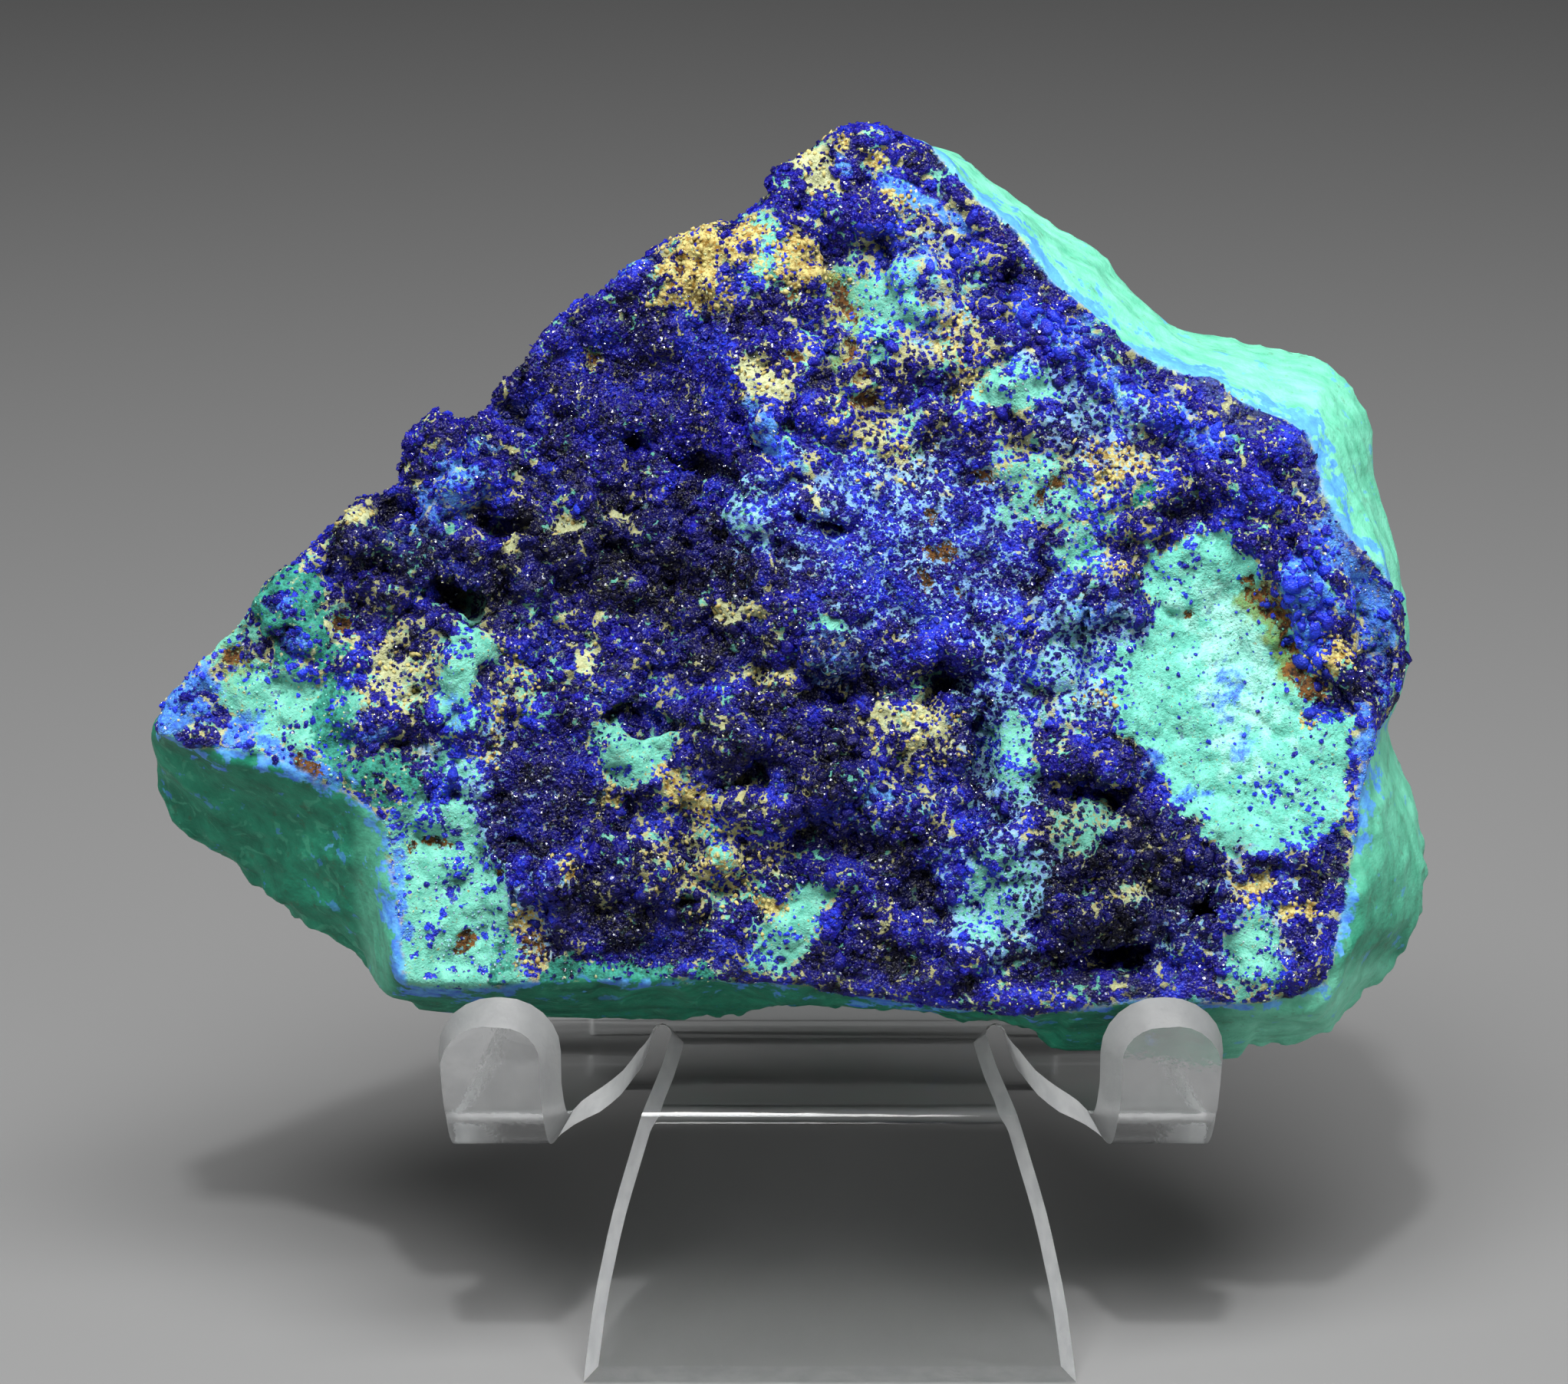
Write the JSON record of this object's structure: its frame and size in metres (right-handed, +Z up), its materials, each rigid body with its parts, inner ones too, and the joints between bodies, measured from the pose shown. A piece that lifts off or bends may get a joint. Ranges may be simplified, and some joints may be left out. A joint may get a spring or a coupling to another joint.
{
  "type": "azurite specimen",
  "caption": "Azurite crust on green malachite, a natural stone leaning on a clear bent-sheet display stand with hooked arms.",
  "frame": {"origin": "middle of the base of the whole object's box, on the surface that the stand rests on", "axes": "+Z up; +X to the viewer's right along the stone's width; +Y away from the viewer, the way the stone leans back"},
  "size_m": [0.0956, 0.0528, 0.0886],
  "materials": {
    "azurite_malachite": "drusy velvet-blue azurite over smooth green malachite, with ochre and pale clay",
    "clear_sheet": "clear polished sheet with frosted cut edges"
  },
  "bodies": {
    "root": {"azurite_malachite_stone": "azurite_malachite", "clear_stand": "clear_sheet"}
  },
  "joints": []
}
